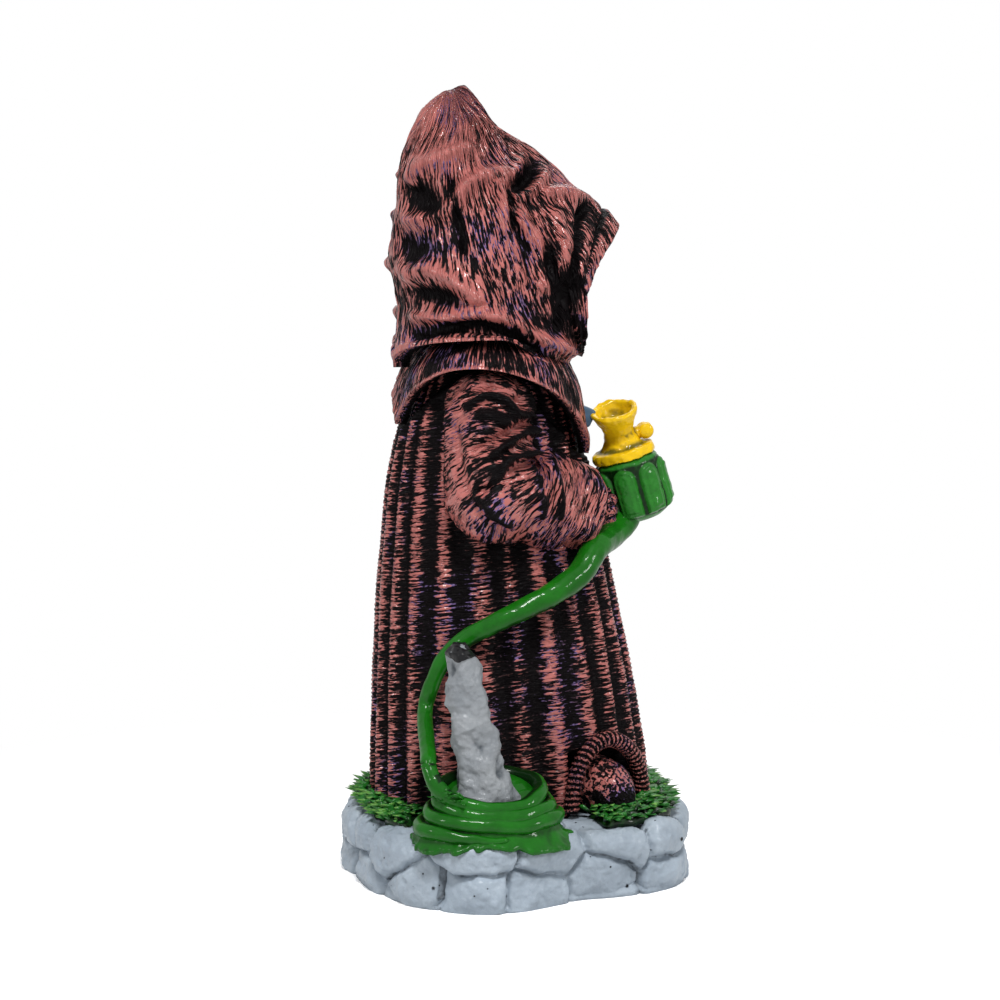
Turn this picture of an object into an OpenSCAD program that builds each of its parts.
// Hooded monk with a garden hose: a cast and painted tabletop figure, built as separate castings
// that plug together on pegs and steel pins. The figure faces -Y, its right hand is towards -X.
// The origin is on the underside of the plinth.

/* [Plinth] */
// Height of the stone plinth
plinth_h = 13; // [10:0.5:18]
// Half width of the plinth, left to right
plinth_half_w = 29; // [28:0.5:36]
// Half depth of the plinth, front to back
plinth_half_d = 32; // [31.5:0.5:38]
// How far the plinth bulges out under the coil of hose
plinth_bulge = 7; // [6.5:0.5:9]
// How far the figure stands to the left of the plinth's middle
figure_x = 7.5; // [7:0.5:9]

/* [Robe] */
// Height of the robe from the ground to the neck
robe_h = 84; // [72:1:98]
// Half width of the robe at the hem
hem_half_w = 22; // [18.5:0.5:22]
// Depth of the robe at the hem, front to back
hem_d = 53.6; // [46:0.2:54]
// Depth of the hem's pleats
pleat_depth = 1.8; // [0.8:0.1:2.2]
// Thickness of the mantle over the shoulders
mantle_t = 1.7; // [1.2:0.1:2.2]

/* [Hood] */
// Height of the hood from the throat to its point
hood_h = 54; // [48:0.5:62]
// Half width of the hood
hood_half_w = 19; // [17.5:0.5:22]
// Thickness of the hood's wall
hood_t = 2.4; // [1.6:0.1:2.8]
// Half width of the head inside the hood
head_half_w = 9.5; // [8.5:0.5:11]

/* [Arms] */
// Radius of the sleeve at the shoulder
shoulder_r = 7.8; // [6.5:0.1:8.5]
// Radius of the sleeve at the elbow
elbow_r = 7.9; // [6.8:0.1:8.6]
// Radius of the sleeve at the cuff
cuff_r = 7.3; // [6:0.1:7.6]
// Wall of the cuff around the sleeve's mouth
cuff_wall = 1.3; // [1:0.1:1.8]

/* [Hose] */
// Diameter of the hose where it joins the coupling
hose_d = 5.3; // [4:0.1:5.6]
// Diameter of the hose in the coil
coil_tube_d = 2.2; // [1.6:0.1:2.2]
// Number of turns in the coil
coil_turns = 4; // [2:1:4]
// Height of the coil at its top turn, above the ground
coil_h = 12.6; // [12.6:0.2:15]
// Diameter of the ribbed coupling
coupling_d = 11.8; // [10.5:0.1:13]
// Height of the ribbed coupling
coupling_h = 12; // [10:0.2:13]
// Number of ribs around the coupling
coupling_ribs = 8; // [6:1:10]
// Height of the nozzle above the coupling
nozzle_h = 9.8; // [9:0.2:12]
// Radius of the nozzle's mouth
mouth_r = 4.4; // [3.8:0.1:5]

/* [Post] */
// Height of the rock post above the ground
post_h = 35; // [30:0.5:42]

/* [Pins] */
// Diameter of the steel pins
pin_d = 3; // [2:0.1:3.6]
// Diameter of the short locating pegs
peg_d = 2; // [1.5:0.1:2.4]
// Radial room between a pin and its hole
pin_gap = 0.05; // [0.03:0.01:0.1]
// Gap between castings where glue goes
glue_gap = 0.15; // [0.1:0.05:0.2]

/* [Hidden] */

robe_colour = [0.45, 0.26, 0.26];
stone_colour = [0.55, 0.6, 0.65];
hose_colour = [0.05, 0.4, 0.08];
nozzle_colour = [0.95, 0.7, 0.05];
skin_colour = [0.75, 0.5, 0.4];
pin_colour = [0.7, 0.7, 0.72];

ground = plinth_h;
around = 66;
far_side = 180;

// ---------- helpers ----------

// A point at angle t (0 is the front, 90 the figure's left) and radius r about a centre.
function at(t, r, c = [0, 0]) = [c[0] + r * sin(t), c[1] - r * cos(t)];

// The radius of an ellipse with half axes a (left to right) and b (front to back) at angle t.
function ellipse_r(t, a, b) = 1 / sqrt(pow(sin(t) / a, 2) + pow(cos(t) / b, 2));

// The angle between two directions, from 0 to 180.
function turn_between(t, u) = abs(((t - u + 540) % 360) - 180);

// A smooth bump that is 1 at angle u and fades over the width w.
function bump(t, u, w) = exp(-pow(turn_between(t, u) / w, 2));

// A smooth step from 0 at a to 1 at b.
function ramp(x, a, b) = let (k = min(1, max(0, (x - a) / (b - a)))) k * k * (3 - 2 * k);

function middle(points) = [for (i = [0:2]) [for (p = points) p[i]] * [for (p = points) 1] / len(points)];

// A closed solid through rings of points that run anticlockwise from above, lowest ring first.
module skin(rings) {
    n = len(rings[0]);
    m = len(rings);
    points = concat([for (r = rings) for (p = r) p], [middle(rings[0]), middle(rings[m - 1])]);
    faces = concat(
        [for (i = [0:m - 2]) for (j = [0:n - 1]) let (k = (j + 1) % n)
            for (f = [[i * n + j, (i + 1) * n + j, (i + 1) * n + k], [i * n + j, (i + 1) * n + k, i * n + k]]) f],
        [for (j = [0:n - 1]) [m * n, j, (j + 1) % n]],
        [for (j = [0:n - 1]) [m * n + 1, (m - 1) * n + (j + 1) % n, (m - 1) * n + j]]);
    polyhedron(points = points, faces = faces);
}

// A closed ring-shaped solid: rows of points where the last row meets the first one again.
module loop_skin(rows) {
    n = len(rows[0]);
    m = len(rows);
    points = [for (r = rows) for (p = r) p];
    faces = [for (i = [0:m - 1]) for (j = [0:n - 1]) let (k = (j + 1) % n, l = (i + 1) % m)
        for (f = [[i * n + j, l * n + j, l * n + k], [i * n + j, l * n + k, i * n + k]]) f];
    polyhedron(points = points, faces = faces);
}

function unit(v) = v / norm(v);

// The direction of a route of points at point i.
function heading(route, i) =
    unit(route[min(len(route) - 1, i + 1)] - route[max(0, i - 1)]);

// A ring of n points square to the direction d around point p; side keeps the rings in step.
function tube_ring(p, d, r, side, n) =
    let (u = unit(cross(side, d)), v = cross(d, u))
    [for (j = [0:n - 1]) p + r * (cos(360 * j / n) * u + sin(360 * j / n) * v)];

// A tube along a route, with its own radius at each point.
module tube(route, radii, side, n = 10) {
    skin([for (i = [0:len(route) - 1]) tube_ring(route[i], heading(route, i), radii[i], side, n)]);
}

// Turns the Z axis to point along v, and puts the origin at p.
module aim(p, v) {
    translate(p) rotate([0, acos(v[2] / norm(v)), atan2(v[1], v[0])]) children();
}

// Works out a free-form solid and the cuts in it as one shape.
module as_one() {
    resize([0, 0, 0]) children();
}

// A round bar from p to q whose radius goes from r1 to r2, with ball ends.
module bar(p, q, r1, r2, sides = 28) {
    aim(p, q - p) cylinder(h = norm(q - p), r1 = r1, r2 = r2, $fn = sides);
    translate(p) sphere(r = r1, $fn = sides);
    translate(q) sphere(r = r2, $fn = sides);
}

// A pin of diameter d and length l, standing up from p, with small bevels at its ends.
module pin(p, d, l) {
    bevel = 0.3;
    translate(p) rotate_extrude($fn = 48)
        polygon([[0, 0], [d / 2 - bevel, 0], [d / 2, bevel], [d / 2, l - bevel], [d / 2 - bevel, l], [0, l]]);
}

module pin_hole(p, d, l) {
    translate(p) cylinder(h = l, d = d + 2 * pin_gap, $fn = 48);
}

// ---------- plinth ----------

plinth_mid_x = 2.5;
bulge_angle = 250;
bulge_w = 22;
notch_angle = 285;
notch_depth = 1;
corner_power = 3;
stone_count = 15;
stone_relief = 0.7;
plinth_levels = [0, 0.06, 0.2, 0.4, 0.5, 0.6, 0.8, 0.93, 1];
plinth_insets = [1.2, 0.4, 0, 0.1, 0.7, 0.1, 0.3, 1, 2.2];

function plinth_r(t) =
    pow(pow(abs(sin(t)) / plinth_half_w, corner_power)
        + pow(abs(cos(t)) / plinth_half_d, corner_power), -1 / corner_power)
    + plinth_bulge * bump(t, bulge_angle, bulge_w) - notch_depth * bump(t, notch_angle, 13);

// The stones stand in two courses, the upper one shifted by half a stone.
function stone_r(t, level) =
    plinth_r(t) - stone_relief * pow(abs(cos(stone_count * t / 2 + (level < 0.5 ? 0 : 90))), 8)
    - lookup(level, [for (i = [0:len(plinth_levels) - 1]) [plinth_levels[i], plinth_insets[i]]]);

module plinth() {
    color(stone_colour) as_one() difference() {
        skin([for (level = plinth_levels) [for (j = [0:around - 1]) let (t = 360 * j / around)
            concat(at(t, stone_r(t, level), [plinth_mid_x, 0]), level * plinth_h)]]);
        for (p = robe_pin_places)
            pin_hole([p[0], p[1], ground - pin_sink], pin_d, pin_sink + 1);
        pin_hole([post_foot[0], post_foot[1], ground - post_pin_sink], peg_d, post_pin_sink + 1);
    }
}

// ---------- robe ----------

// Shares of the robe's height, with the back edge, the front edge and the half width as shares
// of the hem's own sizes.
robe_shape = [
    [0, 0.505, -0.500, 1], [0.07, 0.505, -0.495, 0.99], [0.2, 0.500, -0.462, 0.965],
    [0.37, 0.488, -0.412, 0.915], [0.5, 0.476, -0.372, 0.85], [0.6, 0.464, -0.336, 0.77],
    [0.7, 0.448, -0.302, 0.70], [0.82, 0.412, -0.262, 0.66], [0.92, 0.366, -0.215, 0.60],
    [0.97, 0.325, -0.140, 0.52], [1, 0.27, -0.08, 0.42]];
robe_back = [for (s = robe_shape) [s[0], s[1] * hem_d]];
robe_front = [for (s = robe_shape) [s[0], s[2] * hem_d]];
robe_half = [for (s = robe_shape) [s[0], s[3] * hem_half_w]];
robe_levels = [0, 0.035, 0.07, 0.1, 0.13, 0.2, 0.28, 0.37, 0.44, 0.5, 0.56, 0.62, 0.7, 0.76, 0.82, 0.87, 0.92, 0.96, 1];

// Where the pleats stand around the hem.
pleats = [12, 30, 44, 62, 84, 106, 124, 141, 155, 167, 177, 187, 198, 210, 226, 243, 268, 292, 306, 320, 334, 348];
pleat_w = 5.2;

function robe_mid_y(s) = (lookup(s, robe_back) + lookup(s, robe_front)) / 2;
function robe_d(s) = (lookup(s, robe_back) - lookup(s, robe_front)) / 2;
function pleat(t) = max([for (p = pleats) bump(t, p, pleat_w)]);

// A pocket under the hem at each foot, where the boot sits.
boot_angle = 30;
pocket_w = 19;
pocket_top = 0.165;
pocket_depth = 8.2;
function pocket(t, s) =
    (1 - ramp(min(turn_between(t, boot_angle), turn_between(t, -boot_angle)), pocket_w * 0.75, pocket_w))
    * (1 - ramp(s, pocket_top * 0.75, pocket_top));

function robe_body_r(t, s) = ellipse_r(t, lookup(s, robe_half), robe_d(s));
function robe_r(t, s) = robe_body_r(t, s)
    - mantle_t * ramp(s, mantle_share(t) - 0.03, mantle_share(t) - 0.005)
    - pleat_depth * (1 - 0.75 * s) * (1 - pleat(t)) * (1 - ramp(s, 0.9, 1)) - pocket_depth * pocket(t, s);

// A point on the robe's surface, and one that stands off its pleats by a distance out.
function on_robe(t, s) = concat(at(t, robe_r(t, s), [figure_x, robe_mid_y(s)]), ground + s * robe_h);
function off_robe(t, s, out) =
    concat(at(t, robe_body_r(t, s) + out, [figure_x, robe_mid_y(s)]), ground + s * robe_h);

pin_sink = 7;
pin_l = 2 * pin_sink - 0.4;
robe_pin_places = [[figure_x, -12], [figure_x, 14]];
neck_pin_l = 12;
neck_y = 2.5;
neck_z = ground + robe_h;

module robe() {
    color(robe_colour) as_one() difference() {
        skin([for (s = robe_levels) [for (j = [0:around - 1]) on_robe(360 * j / around, s)]]);
        for (p = robe_pin_places)
            pin_hole([p[0], p[1], ground - 1], pin_d, pin_sink + 1);
        pin_hole([figure_x, neck_y, neck_z - neck_pin_l / 2], pin_d, neck_pin_l);
        for (side = [-1, 1]) {
            arm_space(side);
            hand_space(side);
            shoulder_peg(side, pin_gap);
        }
        for (side = [-1, 1])
            boot_peg(side, pin_gap);
    }
}

// ---------- mantle ----------

mantle_low = 0.81;
mantle_rise = 0.19;
mantle_arch_angle = 108;
mantle_half_w = 20.4;
mantle_neck_r = 7.5;

// The mantle's hem as a share of the robe's height: low at the front and back, high over the arms.
function mantle_share(t) =
    mantle_low + mantle_rise * pow(abs(cos(turn_between(t, 0) - mantle_arch_angle)), 1.2);

// The mantle's outer surface, from the hem (v = 0) to the neck (v = 1).
function mantle_r(t, v) =
    let (low = ellipse_r(t, mantle_half_w, robe_d(mantle_low) + glue_gap))
    low + (mantle_neck_r - low) * (1 - pow(1 - pow(v, 2.2), 0.6));
function mantle_point(t, v, inset) =
    let (hem = ground + robe_h * mantle_share(t), top = ground + robe_h * 1.065)
    concat(at(t, mantle_r(t, v) - inset, [figure_x, robe_mid_y(mantle_low)]),
        hem + (top - hem) * pow(v, 0.8) - inset * pow(v, 2));
mantle_steps = [0, 0.2, 0.4, 0.6, 0.75, 0.87, 0.95, 1];

module mantle() {
    last = len(mantle_steps) - 1;
    color(robe_colour) as_one() difference() {
        loop_skin(concat(
            [for (v = mantle_steps) [for (j = [0:around - 1]) mantle_point(360 * j / around, v, 0)]],
            [for (i = [0:last]) [for (j = [0:around - 1])
                mantle_point(360 * j / around, mantle_steps[last - i], mantle_t)]]));
        clasp_body(glue_gap);
        hood_space();
    }
}

// ---------- clasp on the chest ----------

clasp_size = [3.4, 3.2, 3.6];
clasp_place = [figure_x - 2, robe_mid_y(mantle_low) - robe_d(mantle_low) - 0.4, ground + robe_h * 0.885];

module clasp_body(extra) {
    translate(clasp_place) rotate([24, 0, 0])
        cube(clasp_size + [extra, extra, extra] * 2, center = true);
}

module mantle_clasp() {
    color([0.2, 0.3, 0.42]) clasp_body(0);
}

// ---------- hood ----------

// The hood's cloth fans out from the throat: at 0 degrees a ring lies level around the neck,
// and at the last angle it stands up around the face. Each row is the angle, the reach from
// the throat, the half width and how much the ring narrows towards its far end.
hood_fan = [
    [-6, 0.605, 0.96, 0.04], [0, 0.640, 0.99, 0.04], [6, 0.642, 0.98, 0.04], [12, 0.645, 0.92, 0.06],
    [18, 0.655, 0.94, 0.08], [24, 0.700, 0.97, 0.12], [30, 0.765, 0.99, 0.16], [36, 0.805, 1.00, 0.2],
    [42, 0.855, 1.00, 0.25], [48, 0.935, 1.00, 0.34], [54, 1.005, 0.99, 0.46], [60, 1.050, 0.98, 0.58],
    [65, 1.075, 0.97, 0.70], [68.4, 1.078, 0.95, 0.74], [69.6, 1.000, 0.95, 0.68], [71, 0.925, 0.95, 0.60],
    [74.5, 0.850, 0.94, 0.50], [79, 0.785, 0.93, 0.42], [84, 0.700, 0.91, 0.34], [89, 0.640, 0.88, 0.28],
    [95, 0.600, 0.83, 0.22], [101, 0.560, 0.77, 0.2], [106, 0.515, 0.72, 0.18]];
hood_lining = [106, 98, 89, 80, 70, 58, 46, 34, 22, 12, 4, -2, -6];
throat = [figure_x, -12.8, ground + robe_h * 0.977];
throat_gap = 2.2;
hem_lift = 6.5;
rim_sweep = 3;
hood_n = 44;

function fan(a, column) = lookup(a, [for (f = hood_fan) [f[0], f[column]]]);
// Inside, the point of the hood is filled in.
function lining_reach(a) = min(fan(a, 1), 0.93) * hood_h - hood_t * 1.1;

function hood_point(a, j, inner) =
    let (w = 360 * j / hood_n, s = (1 - cos(w)) / 2,
        near = throat_gap + (inner ? hood_t : 0),
        reach = near + ((inner ? lining_reach(a) : fan(a, 1) * hood_h) - near) * s,
        half = fan(a, 2) * hood_half_w - (inner ? hood_t : 0),
        x = half * sin(w) * (1 - fan(a, 3) * s * s),
        lift = hem_lift * pow(sin(w), 2) * (1 - ramp(a, -2, 26)),
        sweep = rim_sweep * pow(sin(w), 2) * ramp(a, 80, 106))
    throat + [x, reach * cos(a) + sweep, reach * sin(a) + lift];

// The room that the lower hood takes up, so that the mantle ends under its rim.
function hood_space_ring(a, inner, drop) = [for (j = [0:hood_n - 1])
    let (w = 360 * j / hood_n) hood_point(a, j, inner) + [2 * glue_gap * sin(w), -2 * glue_gap * cos(w), -drop]];
module hood_space() {
    skin(concat([hood_space_ring(-6, true, 2 * glue_gap), hood_space_ring(-6, false, 1.5 * glue_gap)],
        [for (f = hood_fan) if (f[0] > -6 && f[0] < 90) hood_space_ring(f[0], false, 0)]));
}

module hood() {
    color(robe_colour) loop_skin(concat(
        [for (f = hood_fan) [for (j = [0:hood_n - 1]) hood_point(f[0], j, false)]],
        [for (a = hood_lining) [for (j = [0:hood_n - 1]) hood_point(a, j, true)]]));
}

// ---------- head ----------

head_mid = [figure_x, -1.5, ground + robe_h * 1.19];
head_tall = 13;
head_deep = 11.2;
head_rows = [-0.985, -0.9, -0.75, -0.55, -0.3, 0, 0.3, 0.55, 0.75, 0.9, 0.985];
neck_r = 5;
head_n = 28;

module head() {
    rows = [for (k = head_rows) let (r = sqrt(1 - k * k)) [for (j = [0:head_n - 1])
        let (t = 360 * j / head_n)
        concat(at(t, ellipse_r(t, head_half_w, head_deep) * r * (k < 0 ? 1 + 0.12 * k : 1),
            [head_mid[0], head_mid[1]]), head_mid[2] + head_tall * k)]];
    neck_rows = [for (z = [neck_z + glue_gap, head_mid[2] - head_tall * 0.9]) [for (j = [0:head_n - 1])
        concat(at(360 * j / head_n, neck_r, [figure_x, neck_y]), z)]];
    color(skin_colour) as_one() difference() {
        skin(concat(neck_rows, [for (i = [2:len(rows) - 1]) rows[i]]));
        pin_hole([figure_x, neck_y, neck_z - 1], pin_d, neck_pin_l / 2 + 1);
    }
}

// ---------- sleeves and hands ----------

function shoulder(side) = [figure_x + side * 13, 7, ground + robe_h * 0.875];
function elbow(side) = [figure_x + side * 18, 7.5, ground + robe_h * 0.718];
function cuff(side) = [figure_x + side * 9, -14.4, ground + robe_h * 0.652];
function forearm(side) = unit(cuff(side) - elbow(side));
cuff_depth = 5;

module arm_space(side) {
    bar(shoulder(side), elbow(side), shoulder_r + glue_gap, elbow_r + glue_gap);
    aim(elbow(side), forearm(side))
        cylinder(h = norm(cuff(side) - elbow(side)), r1 = elbow_r + glue_gap, r2 = cuff_r + glue_gap, $fn = 32);
}

// Room in the robe's front for the hand and its fingers.
module hand_space(side) {
    aim(cuff(side) - 2 * forearm(side), forearm(side)) cylinder(h = 10, r = cuff_r + glue_gap, $fn = 32);
}

module shoulder_peg(side, extra) {
    aim(shoulder(side) - [side * 4, 0, 2] + [side * extra, 0, 0], [-side, 0, 0])
        cylinder(h = 8 + 2 * extra, d = peg_d + 2 * extra, $fn = 32);
}

module sleeve(side) {
    color(robe_colour) as_one() difference() {
        union() {
            bar(shoulder(side), elbow(side), shoulder_r, elbow_r);
            aim(elbow(side), forearm(side))
                cylinder(h = norm(cuff(side) - elbow(side)), r1 = elbow_r, r2 = cuff_r, $fn = 32);
        }
        aim(cuff(side) - cuff_depth * forearm(side), forearm(side))
            cylinder(h = cuff_depth + 1, r = cuff_r - cuff_wall, $fn = 48);
        shoulder_peg(side, pin_gap);
        middle_plane(side);
        coupling_space();
        robe_hose_space();
    }
}

// Each sleeve stops at the middle of the figure, so that the two never meet.
module middle_plane(side) {
    translate([figure_x - side * (20 - glue_gap), -20, ground + robe_h * 0.665])
        cube([40, 46, 40], center = true);
}

palm_r = 3.9;
finger_r = 1.25;
knuckles = [-3.3, -1.1, 1.1, 3.3];

module hand(side) {
    palm = cuff(side) + 0.4 * forearm(side);
    color(skin_colour) as_one() difference() {
        union() {
            bar(cuff(side) - (cuff_depth - glue_gap - palm_r * 0.8) * forearm(side), palm, palm_r * 0.8, palm_r, 20);
            for (k = knuckles) {
                root = palm + [side * 1.2, -2.2, k];
                tip = root + [-side * 3.4, -3.4, 0.4];
                bar(root, tip, finger_r, finger_r * 0.9, 10);
            }
        }
        coupling_space();
        robe_hose_space();
        middle_plane(side);
    }
}

// ---------- coupling, nozzle and valve ----------

coupling_tilt = 16;
coupling_mid = [figure_x - 1, -24.8, ground + robe_h * 0.705];
coupling_up = [0, sin(coupling_tilt), cos(coupling_tilt)];
coupling_foot = coupling_mid - coupling_up * coupling_h / 2;
rib_r = 2.2;
rib_out = 0.7;
nozzle_pin_l = 8;
throat_r = 2.8;
flange_r = 6;
flange_h = 1.8;
mouth_depth = 3;

module in_coupling() {
    translate(coupling_mid) rotate([-coupling_tilt, 0, 0]) children();
}

module coupling_space() {
    in_coupling() cylinder(h = coupling_h + 2 * glue_gap, r = coupling_d / 2 + rib_out + glue_gap, center = true, $fn = 64);
}

module robe_hose_space() {
    aim(coupling_foot + coupling_up, -coupling_up)
        cylinder(h = 16, r = hose_d / 2 + glue_gap, $fn = 48);
}

module hose_coupling() {
    color(hose_colour) in_coupling() difference() {
        union() {
            rotate_extrude($fn = 64) polygon([
                [0, -coupling_h / 2], [coupling_d / 2 - 1.2, -coupling_h / 2], [coupling_d / 2, -coupling_h / 2 + 1],
                [coupling_d / 2, coupling_h / 2 - 1.4], [coupling_d / 2 - 1.2, coupling_h / 2], [0, coupling_h / 2]]);
            for (i = [0:coupling_ribs - 1]) rotate([0, 0, (i + 0.5) * 360 / coupling_ribs])
                translate([coupling_d / 2 - rib_r + rib_out, 0, -coupling_h / 2 + 1.4])
                    cylinder(h = coupling_h - 3.4, r = rib_r, $fn = 32);
        }
        translate([0, 0, coupling_h / 2 - nozzle_pin_l / 2])
            cylinder(h = nozzle_pin_l, d = peg_d + 2 * pin_gap, $fn = 32);
    }
}

module nozzle() {
    color(nozzle_colour) in_coupling() translate([0, 0, coupling_h / 2]) difference() {
        rotate_extrude($fn = 64) polygon([
            [0, 0], [flange_r - 0.4, 0], [flange_r, 0.4], [flange_r, flange_h - 0.4], [flange_r - 0.4, flange_h],
            [4.2, flange_h], [3.4, flange_h + 1], [throat_r, nozzle_h * 0.42], [throat_r, nozzle_h * 0.55],
            [throat_r + 0.7, nozzle_h * 0.76], [mouth_r - 0.4, nozzle_h * 0.9], [mouth_r, nozzle_h * 0.95],
            [mouth_r - 0.3, nozzle_h], [mouth_r - 0.8, nozzle_h], [mouth_r - 1.2, nozzle_h * 0.93],
            [throat_r - 1, nozzle_h - mouth_depth], [0, nozzle_h - mouth_depth]]);
        translate([0, 0, -1]) cylinder(h = 1 + nozzle_pin_l / 2, d = peg_d + 2 * pin_gap, $fn = 32);
        translate([0, -valve_start, valve_z]) rotate([90, 0, 0])
            cylinder(h = 8, r = valve_r + pin_gap, $fn = 32);
    }
}

valve_z = flange_h + 1.9;
valve_r = 1.2;
valve_start = 1.7;
valve_l = 3.4;

// A stub that plugs into the front of the nozzle, with a turning lug on its end.
module nozzle_valve() {
    color(nozzle_colour) in_coupling() translate([0, -valve_start, coupling_h / 2 + valve_z]) {
        rotate([90, 0, 0]) cylinder(h = valve_l, r = valve_r, $fn = 32);
        translate([0, -valve_l, 0]) rotate([0, 90, 0]) cylinder(h = 3.6, r = 1.5, center = true, $fn = 32);
        translate([0, -valve_l, 0]) rotate([90, 0, 0]) cylinder(h = 1.9, r = 1.1, $fn = 32);
    }
}

// ---------- boots ----------

boot_l = 9.6;
boot_half_w = 4.7;
boot_h = 9;
boot_n = 24;
// Shares of the boot's length, width and height from the heel side to the toe.
boot_shape = [[0, 0.8, 0.95], [0.2, 0.9, 1], [0.4, 1, 0.98], [0.6, 0.98, 0.9], [0.78, 0.86, 0.78], [0.92, 0.6, 0.56], [1, 0.3, 0.3]];
boot_start = ellipse_r(boot_angle, hem_half_w, hem_d / 2) - pocket_depth + 2 * glue_gap;

function boot_ring(s) = [for (j = [0:boot_n - 1]) let (w = 360 * j / boot_n)
    [boot_half_w * s[1] * cos(w), -boot_l * s[0], ground + boot_h / 2 + glue_gap + boot_h / 2 * (s[2] * sin(w) - (1 - s[2]) * 0.8)]];

module in_boot(side) {
    translate([figure_x, robe_mid_y(0), 0]) rotate([0, 0, side * boot_angle]) translate([0, -boot_start, 0]) children();
}

module boot(side) {
    color(robe_colour) as_one() difference() {
        in_boot(side) skin([for (s = boot_shape) [for (p = boot_ring(s)) p]]);
        boot_peg(side, pin_gap);
    }
}

module boot_peg(side, extra) {
    in_boot(side) translate([0, 3 + extra, ground + boot_h * 0.45]) rotate([90, 0, 0])
        cylinder(h = 6 + 2 * extra, d = peg_d + 2 * extra, $fn = 32);
}

// A rope trim on the robe, in an arch over each boot.
trim_r = 0.8;
trim_w = pocket_w + 1;
trim_top = pocket_top + 0.02;
trim_step = 15;

module boot_trim(side) {
    route = [for (q = [0:trim_step:180])
        off_robe(side * boot_angle + trim_w * cos(q), (trim_r + glue_gap) / robe_h + trim_top * sin(q),
            trim_r + glue_gap)];
    color(robe_colour) tube(route, [for (p = route) trim_r], concat(at(side * boot_angle, 1), 0.01), 8);
}

// ---------- post and coil ----------

post_foot = [-24, 10.4, ground];
post_lean = [2.6, 5, 0];
// Shares of the post's height with its half width, its half depth and a wobble.
post_shape = [[0, 3.6, 6], [0.12, 3.6, 5.9], [0.25, 3.4, 5.8], [0.36, 3.3, 5.4], [0.46, 3.2, 4.6], [0.56, 3.3, 4.4],
    [0.66, 3.1, 4.2], [0.78, 3, 3.8], [0.87, 2.9, 3.4], [0.9, 2.8, 3.3]];
post_n = 18;
cap_shape = [[0.9, 2.8, 3.2], [0.95, 2.7, 3.1], [0.98, 2.2, 2.6], [1, 1.4, 1.7]];
post_pin_sink = 6;

function post_ring(s, extra) = [for (j = [0:post_n - 1]) let (t = 360 * j / post_n)
    concat(at(t, ellipse_r(t, s[1], s[2]) * (1 + 0.05 * cos(3 * t + 700 * s[0])),
        [post_foot[0] + post_lean[0] * s[0], post_foot[1] + post_lean[1] * pow(s[0], 0.8)]),
        ground + post_h * s[0] + extra)];

module rock_post() {
    color(stone_colour) as_one() difference() {
        skin([for (s = post_shape) post_ring(s, 0)]);
        pin_hole([post_foot[0], post_foot[1], ground - 1], peg_d, post_pin_sink + 1);
    }
}

module post_cap() {
    color([0.1, 0.1, 0.11]) skin([for (s = cap_shape) post_ring(s, glue_gap)]);
}

coil_mid = [-23.6, 10.6];
coil_top = [5.3, 10.4];
coil_foot = [7.9, 13.7];
coil_lean = 0.18;
coil_start = 170;
coil_steps = 18;

// A point along the coil, from the top turn (k = 0) to the end on the ground (k = 1).
function coil_point(k) =
    let (t = coil_start + 360 * coil_turns * k, half = coil_top + (coil_foot - coil_top) * k,
        x = half[0] * sin(t), y = -half[1] * cos(t))
    [coil_mid[0] + x, coil_mid[1] + y,
        ground + coil_tube_d / 2 + 0.1 + (coil_h - coil_tube_d) * (1 - k) * (1 + coil_lean * x / half[0])];

coil_route = [for (i = [0:coil_turns * coil_steps]) coil_point(i / (coil_turns * coil_steps))];

module hose_coil() {
    color(hose_colour) tube(coil_route, [for (p = coil_route) coil_tube_d / 2], [0, 0, 1], 8);
}

// A smooth route through the points of a list, in k steps from each to the next.
function smooth(p, k) = concat([for (i = [0:len(p) - 2]) for (j = [0:k - 1])
    let (t = j / k, a = p[max(i - 1, 0)], b = p[i], c = p[i + 1], d = p[min(i + 2, len(p) - 1)])
    b + (c - a) * t / 2 + (2 * a - 5 * b + 4 * c - d) * t * t / 2 + (3 * b - a - 3 * c + d) * t * t * t / 2],
    [p[len(p) - 1]]);

// The hose drops from the coupling, crosses the robe's right side and turns down behind the post.
// Each row is the angle around the robe, the share of the robe's height and how far it stands off.
hose_run = [[326, 0.550, 0], [306, 0.501, 0], [286, 0.455, 0], [268, 0.414, 0], [253, 0.374, 0], [241, 0.328, 0],
    [232.5, 0.270, 0], [227.5, 0.208, 0.6], [226, 0.150, 2]];
hose_off = 0.3;
function hose_radius(k) = hose_d / 2 + (coil_tube_d / 2 - hose_d / 2) * ramp(k, 0.2, 1);
coil_end = coil_route[0] - 3 * glue_gap * heading(coil_route, 0);
hose_route = smooth(concat(
    [coupling_foot - coupling_up * 2.5 * glue_gap, coupling_foot - coupling_up * 1.6,
        coupling_foot - coupling_up * 3.6 + [-0.9, 0.7, 0]],
    [for (p = hose_run) off_robe(p[0], p[1], hose_off + hose_d / 2 + p[2])], [coil_end - 3.2 * heading(coil_route, 0) + [0.6, 0, 1.2], coil_end]), 3);

module hose() {
    n = len(hose_route);
    color(hose_colour) tube(hose_route, [for (i = [0:n - 1]) hose_radius(i / (n - 1))], [0.7, 0.1, 1], 12);
}

// ---------- grass ----------

grass_h = 1.6;
grass_edge = 2.8;

function by_boot(t) = min(turn_between(t, boot_angle), turn_between(t, -boot_angle)) < trim_w + 4;

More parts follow.
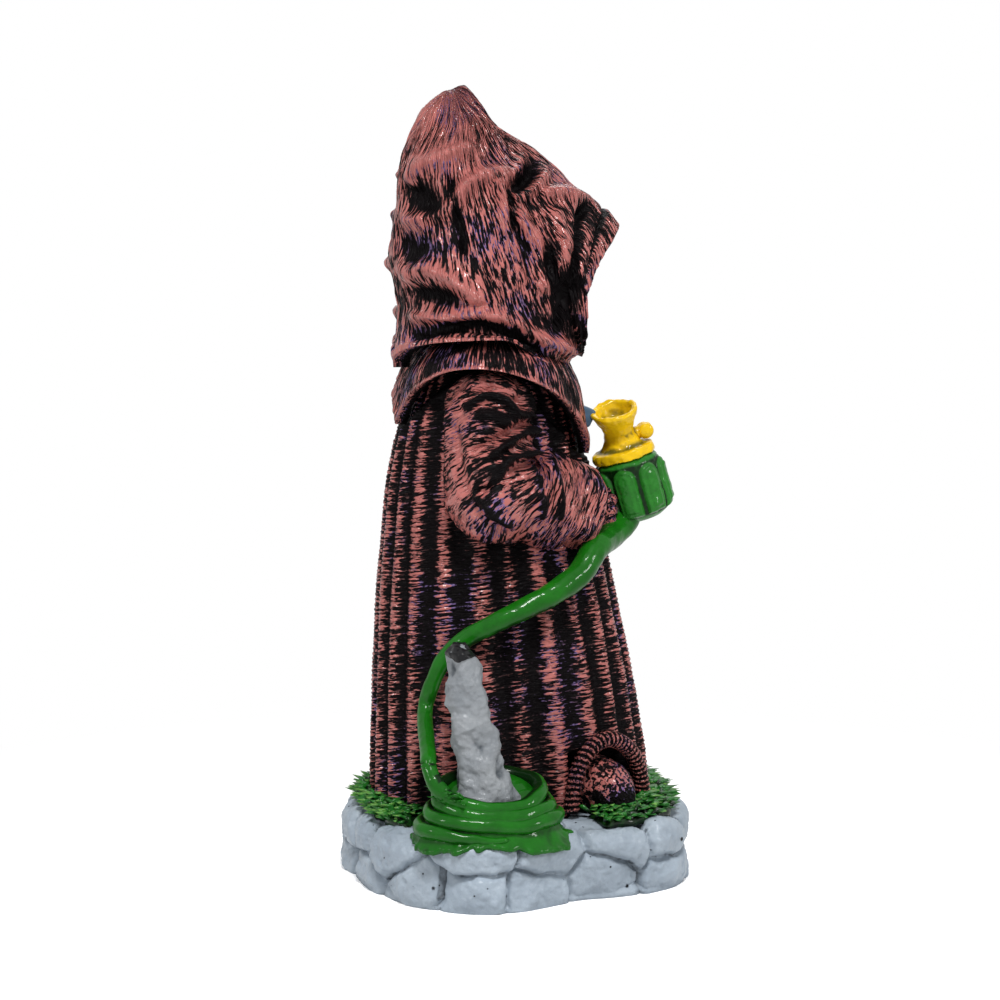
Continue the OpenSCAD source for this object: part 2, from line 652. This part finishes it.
module grass(from, to) {
    step = 4;
    turns = [for (t = [from:step:to]) t];
    outer = [for (t = turns) at(t, plinth_r(t) - grass_edge, [plinth_mid_x, 0])];
    inner = [for (t = turns) at(t, robe_body_r(t, 0) + 2 * glue_gap + (by_boot(t) ? 2 * trim_r + 2 * glue_gap : 0),
        [figure_x, robe_mid_y(0)])];
    color([0.05, 0.3, 0.05]) translate([0, 0, ground]) linear_extrude(grass_h) difference() {
        polygon(concat(outer, [for (i = [len(inner) - 1:-1:0]) inner[i]]));
        for (side = [-1, 1]) translate([figure_x, robe_mid_y(0)]) rotate(side * boot_angle)
            translate([-boot_half_w - glue_gap, -boot_start - boot_l - 2 * glue_gap])
                square([2 * (boot_half_w + glue_gap), boot_start + boot_l]);
    }
}

// ---------- pins ----------

module robe_pins() {
    color(pin_colour) for (p = robe_pin_places)
        pin([p[0], p[1], ground - pin_l / 2], pin_d, pin_l);
}

module neck_pin() {
    color(pin_colour) pin([figure_x, neck_y, neck_z - neck_pin_l / 2 + 0.2], pin_d, neck_pin_l - 0.4);
}

module shoulder_pegs() {
    color(pin_colour) for (side = [-1, 1]) shoulder_peg(side, 0);
}

module boot_pegs() {
    color(pin_colour) for (side = [-1, 1]) boot_peg(side, 0);
}

module post_pin() {
    color(pin_colour) pin([post_foot[0], post_foot[1], ground - post_pin_sink + 0.2], peg_d, 2 * post_pin_sink - 0.4);
}

module nozzle_pin() {
    color(pin_colour) in_coupling() translate([0, 0, coupling_h / 2 - nozzle_pin_l / 2 + 0.1])
        pin([0, 0, 0], peg_d, nozzle_pin_l - 0.2);
}

plinth();
robe();
mantle();
hood();
head();
sleeve(-1);  // sleeve_right
sleeve(1);  // sleeve_left
hand(-1);  // hand_right
hand(1);  // hand_left
boot(-1);  // boot_right
boot(1);  // boot_left
boot_trim(-1);  // boot_trim_right
boot_trim(1);  // boot_trim_left
mantle_clasp();
rock_post();
post_cap();
hose_coil();
hose();
hose_coupling();
nozzle();
nozzle_valve();
grass(296, 408);  // grass_front
grass(180, 216);  // grass_rear_right
grass(136, 176);  // grass_rear_left
robe_pins();
neck_pin();
shoulder_pegs();
boot_pegs();
post_pin();
nozzle_pin();
